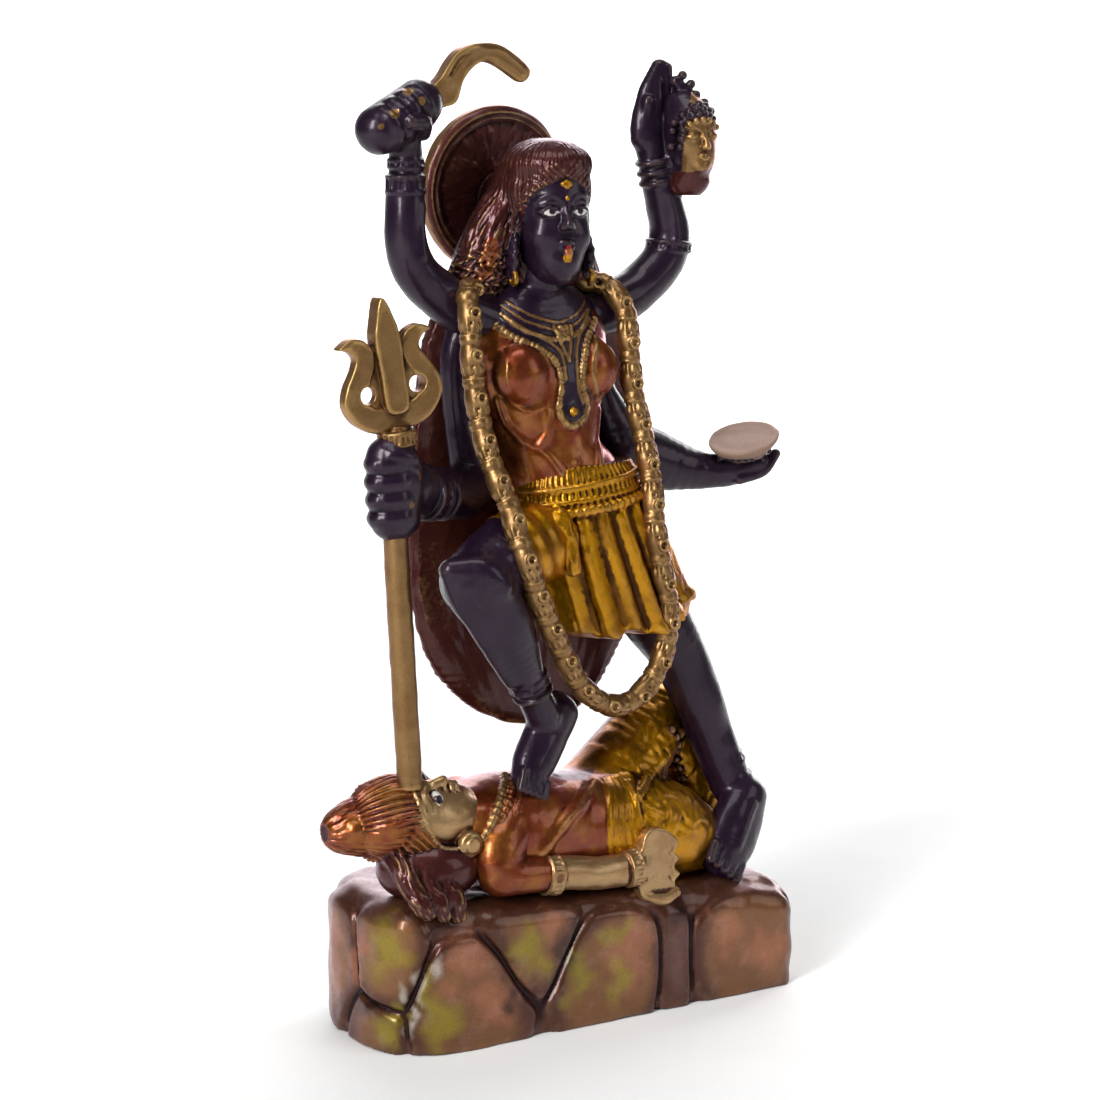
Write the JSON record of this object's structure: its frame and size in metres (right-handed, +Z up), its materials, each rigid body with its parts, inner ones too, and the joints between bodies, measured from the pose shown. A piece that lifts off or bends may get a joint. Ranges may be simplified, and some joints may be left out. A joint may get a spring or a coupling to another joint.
{
  "type": "kali figure",
  "caption": "Cast brass figure of a goddess with raised arms, trident and round halo, striding over a lying figure on a rock base.",
  "frame": {"origin": "middle of the rock's flat underside", "axes": "+Z up, the figure faces -Y, +X to the viewer's right"},
  "size_m": [0.1383, 0.0562, 0.2488],
  "materials": {
    "brass_cast": "cast brass, painted in gloss black, copper, gold and brown lacquer, with the raised ornament left as bare satin brass"
  },
  "bodies": {
    "root": {"kali_figure": "brass_cast"}
  },
  "joints": []
}
